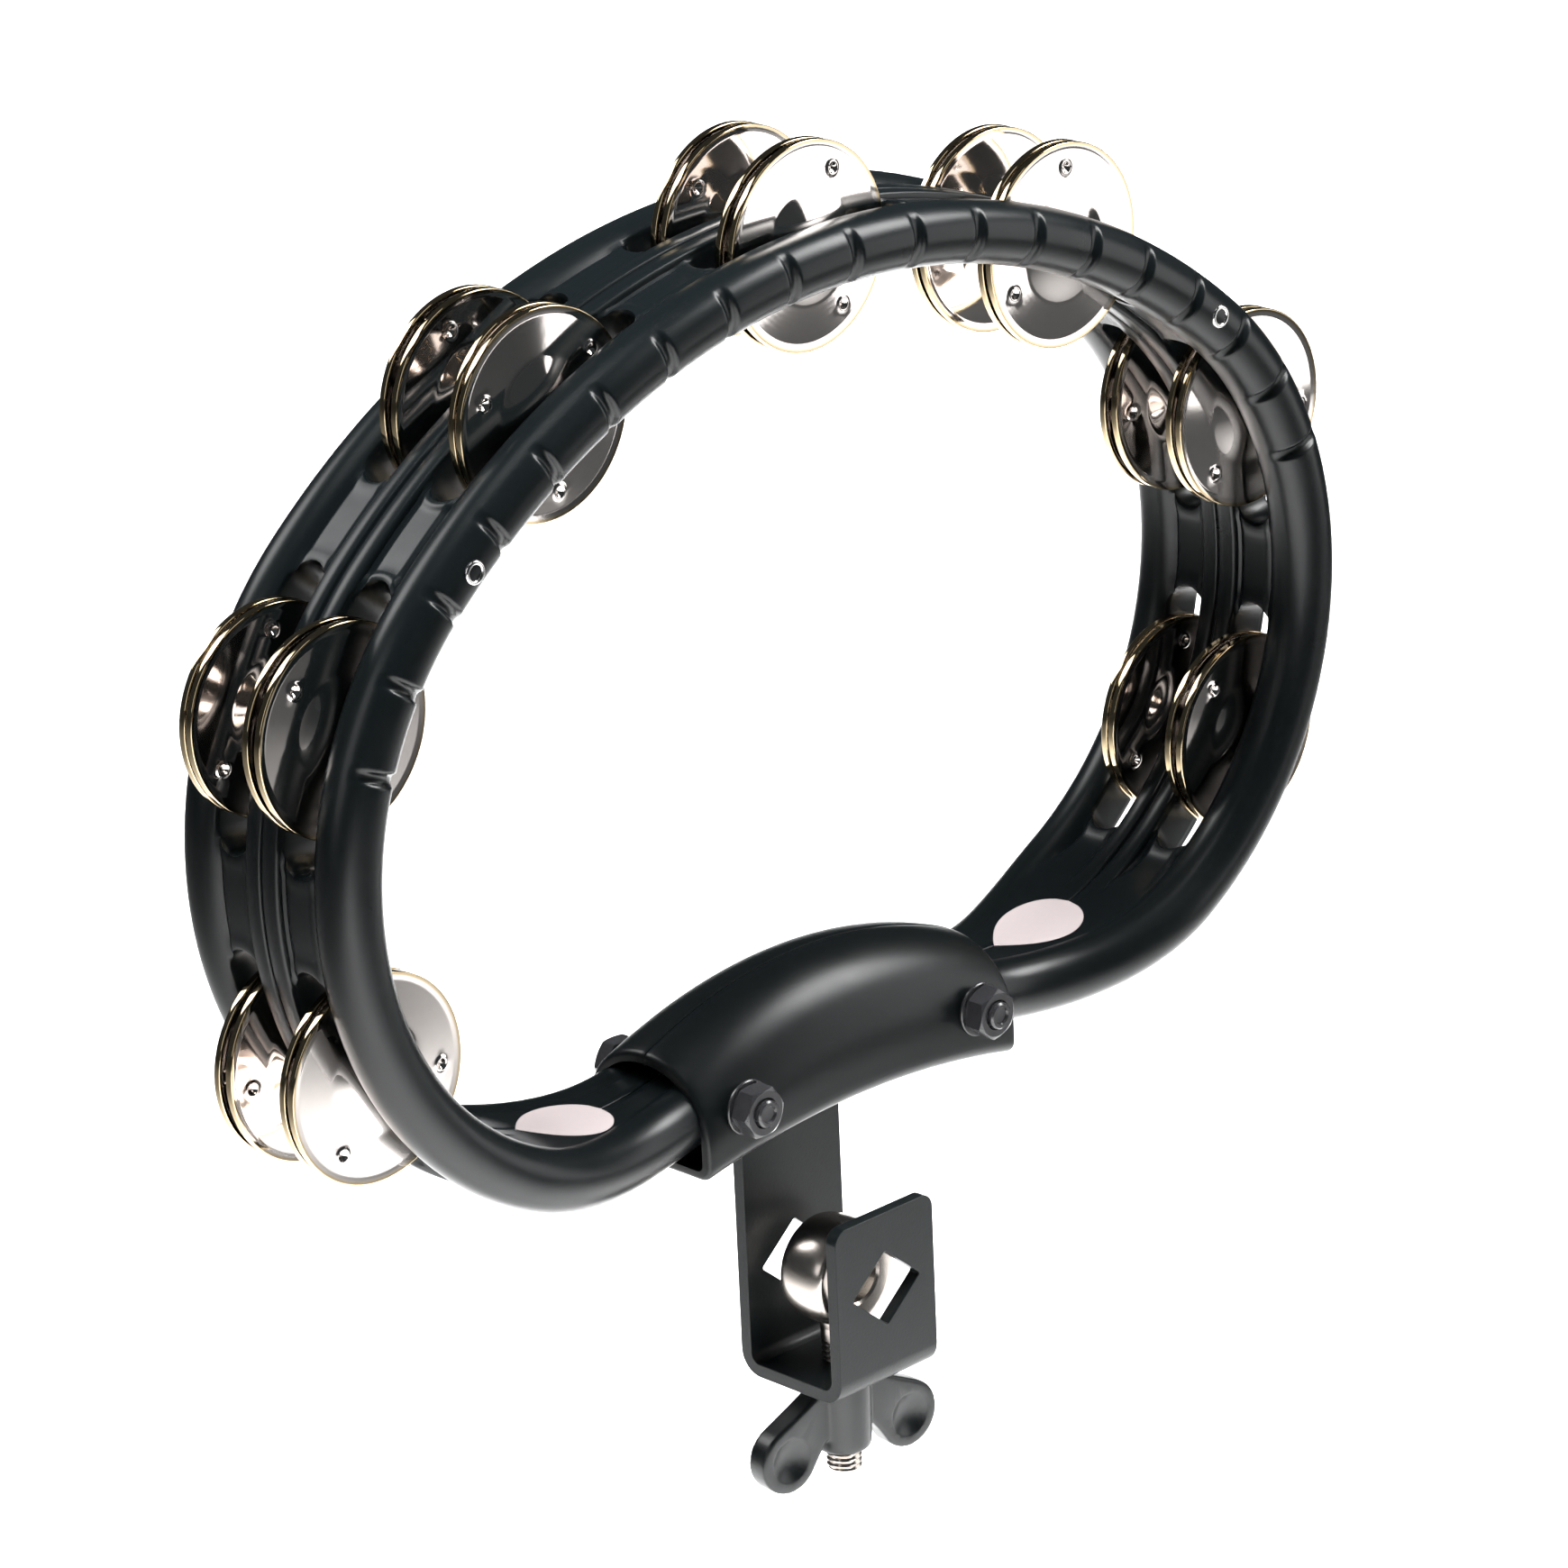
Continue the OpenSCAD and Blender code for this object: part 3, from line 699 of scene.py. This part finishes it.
def hex_body(name, af, low, high, hole, both=True):
    """Hexagon as a revolve whose radius follows the flats, with its corners cut by a cone.

    The cone cuts the top, and the bottom too where both is true."""
    cone, slope, middle = 0.97 * af / 2, math.tan(math.radians(32)), (low + high) / 2
    on_flats = -1

    def wobble(a, r, z):
        if r != on_flats:
            return r, z
        full = hex_radius(a, af)
        rise = (full - cone) * slope
        if z > middle:
            return full, z - rise
        return full, z + rise if both else z

    below = [(cone * 0.98, low), (on_flats, low), (on_flats, middle - 0.01)] if both else [(on_flats, low)]
    above = [(on_flats, high), (cone, high), (hole + 0.5, high), (hole, high - 0.5)]
    return revolve(name, [(hole, low)] + below + above, 144, wobble)


nuts, bolts, washers = [], [], []
for side in (-1, 1):
    x = side * BOLT_X
    nut = hex_body("nut", HEX_AF, 0, NUT_H, 2.9)
    nut.data.transform(Matrix.Rotation(math.radians(12 + 9 * side), 4, "Z"))
    nuts.append(stand_on_y(nut, x, MID_Y - COVER_Y - WASHER_T, BOLT_Z))
    ring = [(3.05, 0), (5.8, 0), (6.0, 0.2), (6.0, 0.6), (5.8, WASHER_T), (3.05, WASHER_T)]
    washer = revolve("washer", ring, 64)
    washers.append(stand_on_y(washer, x, MID_Y - COVER_Y, BOLT_Z))
    dished_end = [(3, 5.8), (2.6, 6.2), (2.0, 6.2), (1.7, 5.7), (0.0, 5.6)]
    shank = revolve("shank", [(0.0, -38), (3, -38)] + dished_end, 48, closed=False)
    bolts.append(stand_on_y(shank, x, MID_Y - COVER_Y - WASHER_T, BOLT_Z))
    head = hex_body("head", HEX_AF, 0, HEAD_H, 0.0, both=False)
    bolts.append(stand_on_y(head, x, MID_Y + COVER_Y, BOLT_Z, -1))
place(join(nuts, "grip_nuts"), BOLT, ROOT, ["cover_nuts"])
place(join(washers, "grip_washers"), BOLT, ROOT, ["bolt_washers"])
place(join(bolts, "grip_bolts"), BOLT, ROOT, ["cover_bolts"])


# ---- bracket

STRAP_W, STRAP_T, STRAP_Y = 29.7, 3.0, 15.25
WEB_LOW, PLATE_TOP, BEND = 23.5, 17.4, 4.0
# the cross bar's half length, lowest and highest points, and how far it stays inside the strap's faces
TEE_HALF, TEE_LOW, TEE_HIGH, TEE_INSET = 43.0, 46.5, 59.5, 0.02
DIAMOND_X, DIAMOND_Z = 10.3, 8.6


def prism_y(name, outline, y0, y1):
    """Solid between y0 and y1 with an (x, z) outline."""
    n = len(outline)
    verts = [Vector((x, y, z)) * MM for y in (y0, y1) for x, z in outline]
    faces = [(i, (i + 1) % n, n + (i + 1) % n, n + i) for i in range(n)]
    faces += [list(range(n))[::-1], list(range(n, 2 * n))]
    return new_object(name, verts, faces)


def strap_path():
    """Middle line of the bent strap in (y, z), down the front plate, under the web and up the rear plate."""
    mid = STRAP_Y - STRAP_T / 2
    bend_z, steps = -WEB_LOW + STRAP_T / 2 + BEND, 8
    path = [(-mid, PLATE_TOP + 4), (-mid, bend_z)]
    for j in range(1, steps + 1):
        a = math.pi + math.pi / 2 * j / steps
        path.append((-mid + BEND + BEND * math.cos(a), bend_z + BEND * math.sin(a)))
    for j in range(steps + 1):
        a = -math.pi / 2 + math.pi / 2 * j / steps
        path.append((mid - BEND + BEND * math.cos(a), bend_z + BEND * math.sin(a)))
    return path + [(mid, TEE_HIGH)]


def bracket():
    """Bent strap with its diamond holes, and the cross bar on top of its rear plate."""
    path = strap_path()
    w = STRAP_W / 2
    rows = []
    for i, (y, z) in enumerate(path):
        a, b = path[max(i - 1, 0)], path[min(i + 1, len(path) - 1)]
        t = Vector((b[0] - a[0], b[1] - a[1])).normalized()
        n = Vector((-t[1], t[0])) * STRAP_T / 2
        rows.append([Vector((sx * w, y + sn * n[0], z + sn * n[1])) * MM for sx, sn in
                     ((-1, -1), (1, -1), (1, 1), (-1, 1))])
    verts = [v for row in rows for v in row]
    faces = grid_faces(len(rows), 4)
    faces += [(3, 2, 1, 0), tuple(len(verts) - 4 + i for i in range(4))]
    body = new_object("bracket_strap", verts, faces)
    # trim the front plate to its height, with rounded top corners
    corner = 3.2
    keep = rounded([(-w, -40), (w, -40), (w, PLATE_TOP), (-w, PLATE_TOP)], [0, 0, corner, corner], 8)
    trim = [(-30, PLATE_TOP - 8), (-30, PLATE_TOP + 12), (30, PLATE_TOP + 12), (30, PLATE_TOP - 8)]
    cap = prism_y("cap", trim, -STRAP_Y - 3, -8)
    cut_away(cap, prism_y("keep", keep, -STRAP_Y - 4, -7))
    cut_away(body, cap)
    hole = rounded([(-DIAMOND_X, 0), (0, -DIAMOND_Z), (DIAMOND_X, 0), (0, DIAMOND_Z)], 0.5, 3)
    cut_away(body, prism_y("diamond", hole, -30, 30))
    tee = rounded([(-TEE_HALF, TEE_LOW), (TEE_HALF, TEE_LOW), (TEE_HALF, TEE_HIGH), (-TEE_HALF, TEE_HIGH)],
                  6, 6)
    bar = prism_y("tee", tee, STRAP_Y - STRAP_T + TEE_INSET, STRAP_Y - TEE_INSET)
    bevel(body, 0.4)
    bevel(bar, 0.3)
    return even_normals(join([body, bar], "clamp_strap"))


def even_normals(obj):
    """Keeps broad flats flat beside their small rounded edges."""
    mod = obj.modifiers.new("flats", "WEIGHTED_NORMAL")
    mod.keep_sharp, mod.weight = True, 60
    apply_modifiers(obj)
    return obj


def bevel(obj, width):
    """Rounds every edge sharper than 30 degrees, after flat faces have been merged."""
    bm = bmesh.new()
    bm.from_mesh(obj.data)
    bmesh.ops.remove_doubles(bm, verts=bm.verts, dist=WELD)
    bmesh.ops.dissolve_limit(bm, angle_limit=math.radians(1), verts=bm.verts, edges=bm.edges)
    bm.to_mesh(obj.data)
    bm.free()
    mod = obj.modifiers.new("bevel", "BEVEL")
    mod.width, mod.segments, mod.limit_method = width * MM, 3, "ANGLE"
    mod.angle_limit = math.radians(30)
    mod.harden_normals = False
    apply_modifiers(obj)


place(bracket(), COAT, ROOT, ["clamp_bracket"])


# ---- eye bolt and wing nut

STUD_R, STUD_LOW, EYE_R, EYE_BORE, EYE_HALF = 4.0, 47.5, 12.0, 6.2, 6.5
THREAD_PITCH, THREAD_DEEP = 1.25, 0.45


def eye_ring():
    """Eye with a full, rounded outside and a straight bore."""
    shoulder_r, steps = 9.4, 24
    profile = [(EYE_BORE + 0.5, -EYE_HALF), (EYE_BORE, -EYE_HALF + 0.6), (EYE_BORE, EYE_HALF - 0.6),
               (EYE_BORE + 0.5, EYE_HALF)]
    for j in range(steps + 1):
        a = math.pi / 2 - math.pi * j / steps
        swell = (EYE_R - shoulder_r) * max(math.cos(a), 0) ** 0.5
        profile.append((shoulder_r + swell, EYE_HALF * math.sin(a)))
    ring = revolve("ring", profile, 96)
    return stand_on_y(ring, 0, 0, 0)


def stud():
    """Stud below the eye with an M8 thread, a helix that wobble cuts into the round shank."""
    neck_r = 4.4
    profile = [(0.0, -EYE_BORE - 0.6), (neck_r, -EYE_BORE - 0.6), (neck_r, -EYE_R + 1.0),
               (STUD_R, -EYE_R - 0.8)]
    z = -EYE_R - 1.2
    while z > -STUD_LOW + 0.9:
        profile.append((STUD_R, z))
        z -= THREAD_PITCH / 6
    profile += [(STUD_R - 0.7, -STUD_LOW), (0.0, -STUD_LOW)]

    def wobble(a, r, height):
        if r == STUD_R and height < -EYE_R - 4:
            phase = (height / THREAD_PITCH - a / (2 * math.pi)) % 1.0
            r = STUD_R - THREAD_DEEP * (1 - abs(2 * phase - 1))
        return r, height

    return revolve("stud", profile, 60, wobble, closed=False)


place(join([eye_ring(), stud()], "eye_bolt_body"), EYE_NICKEL, "clamp_eye", ["eye_bolt"])

# the lobes stand closer to the axis than in the CAD
LOBE_X, LOBE_Z, LOBE_R, LOBE_T = 16.9, -39.3, 7.7, 5.4
BOSS_R, BOSS_TOP, BOSS_LOW = 6.5, -23.8, -42.0


def wing():
    """Boss with two drooping rounded wings, fused by a voxel remesh so that the roots blend."""
    boss = revolve("boss", [(0, BOSS_LOW), (5.2, BOSS_LOW), (6.1, BOSS_LOW + 0.5), (6.3, BOSS_LOW + 1.6),
                            (BOSS_R, -31), (BOSS_R, BOSS_TOP - 0.8), (6.0, BOSS_TOP), (0, BOSS_TOP)],
                   72, closed=False)
    solids = [boss]
    for side in (-1, 1):
        # from the boss's upper shoulder, out round the lobe and back under it
        outline = [(2.0, -25.4), (8.0, -26.2), (12.5, -28.6)]
        for j in range(21):
            a = math.radians(62 - 200 * j / 20)
            outline.append((LOBE_X + LOBE_R * math.cos(a), LOBE_Z + LOBE_R * math.sin(a)))
        outline += [(8.5, -40.5), (6.5, -38.0), (2.0, -38.0)]
        outline = [(side * x, z) for x, z in outline]
        if side < 0:
            outline = outline[::-1]
        solids.append(prism_y("blade", outline, -LOBE_T / 2, LOBE_T / 2))
    whole = join(solids, "wing_nut_body")
    mod = whole.modifiers.new("fuse", "REMESH")
    mod.mode, mod.voxel_size = "VOXEL", 0.35 * MM
    apply_modifiers(whole)
    relax = whole.modifiers.new("relax", "SMOOTH")
    relax.factor, relax.iterations = 0.6, 10
    apply_modifiers(whole)
    # a round hollow in both faces of each lobe
    hollow_r, hollow_deep = 5.2, 1.5
    for v in whole.data.vertices:
        x, y, z = v.co / MM
        gap = math.hypot(abs(x) - LOBE_X, z - LOBE_Z)
        if gap < hollow_r and abs(y) > 1.0:
            v.co.y -= math.copysign(hollow_deep * (1 - (gap / hollow_r) ** 2) * MM, y)
    whole.data.transform(Matrix.Rotation(math.radians(-5), 4, "Z"))
    thin = whole.modifiers.new("thin", "DECIMATE")
    thin.ratio = 0.35
    apply_modifiers(whole)
    finish_mesh(whole, 60)
    return whole


nut_body = wing()
NUT_BORE = 4.08
bore = [(0, -60), (NUT_BORE, -60), (NUT_BORE, -10), (0, -10)]
cut_away(nut_body, revolve("thread_hole", bore, 48, closed=False))
finish_mesh(nut_body, 45)
place(nut_body, WING, "clamp_nut", ["wing_nut"])


# ---- labels: blank egg shapes that follow the rail's inner face

LABEL_S, LABEL_LONG, LABEL_WIDE = 305.5, 13.2, 9.7
LABEL_LIFT, LABEL_T = 0.06, 0.22


def label_outline(t):
    """Half width of the egg-shaped label at t from 0, the narrow end, to 1."""
    fat = 0.62
    if t > fat:
        return math.sqrt(max(1 - ((t - fat) / (1 - fat)) ** 2, 0))
    return max(math.sin(t / fat * math.pi / 2), 0) ** 0.95


def label_object(side):
    """Thin film bent over the rail's inner face, its narrow end towards -X."""
    across, steps = 16, 44
    verts = []
    for i in range(steps + 1):
        t = i / steps
        w = LABEL_WIDE * label_outline(t)
        u = (1 - 2 * t) * LABEL_LONG
        for j in range(across + 1):
            d = w * (-1 + 2 * j / across)
            verts.append(at(side * LABEL_S + u, -(MID_Q + LABEL_LIFT), d))
    obj = new_object("label", verts, grid_faces(steps + 1, across + 1, wrap_cols=False))
    mod = obj.modifiers.new("thick", "SOLIDIFY")
    mod.thickness = LABEL_T * MM
    apply_modifiers(obj)
    return obj


place(join([label_object(-1), label_object(1)], "blank_labels"), LABEL, ROOT, ["stickers"])


# ---- stage

FLOOR_Z = cad_box[0][2] - 0.10


def stage_floor():
    """Pale floor that reaches well past the picture, just below the part."""
    size = 9.0
    verts = [(x * size, y * size, FLOOR_Z) for x, y in ((-1, -1), (1, -1), (1, 1), (-1, 1))]
    floor = new_object("floor", verts, [(0, 1, 2, 3)])
    floor.data.materials.append(node_material("pale_floor", (0.86, 0.86, 0.86), 0.9, scale=60, vary=0.02,
                                              rough_vary=0.05, specular=0.1))


def area_light(name, energy, size, place_at, aim, size_y=None, spread=180, along=None):
    """Soft light aimed at a point, or straight down with its long side in the level direction along."""
    data = bpy.data.lights.new(name, "AREA")
    data.energy, data.size, data.spread = energy, size, math.radians(spread)
    if size_y:
        data.shape, data.size_y = "RECTANGLE", size_y
    obj = bpy.data.objects.new(name, data)
    bpy.context.scene.collection.objects.link(obj)
    turn = (Vector(aim) - Vector(place_at)).to_track_quat("-Z", "Y")
    if along:
        turn = Matrix.Rotation(math.atan2(along[1], along[0]), 3, "Z").to_quaternion()
    obj.location, obj.rotation_euler = place_at, turn.to_euler()
    return obj


stage_floor()
middle = (Vector(cad_box[0]) + Vector(cad_box[1])) / 2
# a long strip lights the floor behind the part, and shows in no reflection
away = Vector((0.69, 0.72, 0))
over_floor = Vector((0, 0, FLOOR_Z)) + away * 0.3 + Vector((0, 0, 1.1))
strip = area_light("floor_strip", 30, 4.0, over_floor, middle, size_y=0.40, spread=48, along=away)
strip.visible_glossy = False
area_light("left_soft", 2.1, 0.5, middle + Vector((-1.2, 0.1, 0.55)), middle, size_y=0.9)
area_light("right_soft", 1.5, 0.5, middle + Vector((0.63, -0.49, 0.11)), middle + Vector((0, 0, 0.11)),
           size_y=0.54)
area_light("key_soft", 1.6, 0.5, middle + Vector((0.78, -0.40, 0.86)), middle, spread=60)
area_light("back_soft", 0.55, 0.5, middle + Vector((-0.38, 0.86, 0.74)), middle, spread=60)
area_light("top_soft", 1.1, 0.5, middle + Vector((-0.2, 0.0, 1.2)), middle)

world = bpy.data.worlds.new("studio")
world.use_nodes = True
world.node_tree.nodes["Background"].inputs["Color"].default_value = (0.034, 0.038, 0.040, 1)
world.node_tree.nodes["Background"].inputs["Strength"].default_value = 1.0
bpy.context.scene.world = world
bpy.context.scene.view_settings.view_transform = "Standard"


# ---- camera, at the photograph's viewing angle

HOOP_MIDDLE = 113.0
# how far the camera's axis passes from the hoop's middle, to the right and up in mm
AIM = (0.4618, 0.0617)
SHIFT = (-0.0032, -0.0081)
AZIMUTH, ELEVATION, ROLL = math.radians(-43.98), math.radians(20.17), math.radians(-2.52)
# focal length and frame width in the same unit, and the distance from the hoop's middle in mm
FOCAL, FRAME_WIDTH, DISTANCE = 8097.5, 1740.0, 1542.4
SENSOR = 36.0


def camera():
    azimuth, elevation, roll = AZIMUTH, ELEVATION, ROLL
    shift_right, shift_up = AIM
    back = Vector((math.sin(azimuth) * math.cos(elevation), -math.cos(azimuth) * math.cos(elevation),
                   math.sin(elevation)))
    level = Vector((math.cos(azimuth), math.sin(azimuth), 0))
    rise = back.cross(level)
    right = math.cos(roll) * level + math.sin(roll) * rise
    up = -math.sin(roll) * level + math.cos(roll) * rise
    data = bpy.data.cameras.new("camera")
    obj = bpy.data.objects.new("camera", data)
    bpy.context.scene.collection.objects.link(obj)
    data.sensor_width = SENSOR
    data.lens = SENSOR * FOCAL / FRAME_WIDTH
    data.shift_x, data.shift_y = SHIFT
    data.clip_end = 50
    spot = Vector((0, MID_Y, HOOP_MIDDLE)) - shift_right * right - shift_up * up + DISTANCE * back
    turn = Matrix((right, up, back)).transposed().to_4x4()
    obj.matrix_world = Matrix.Translation(spot * MM) @ turn
    bpy.context.scene.camera = obj


camera()
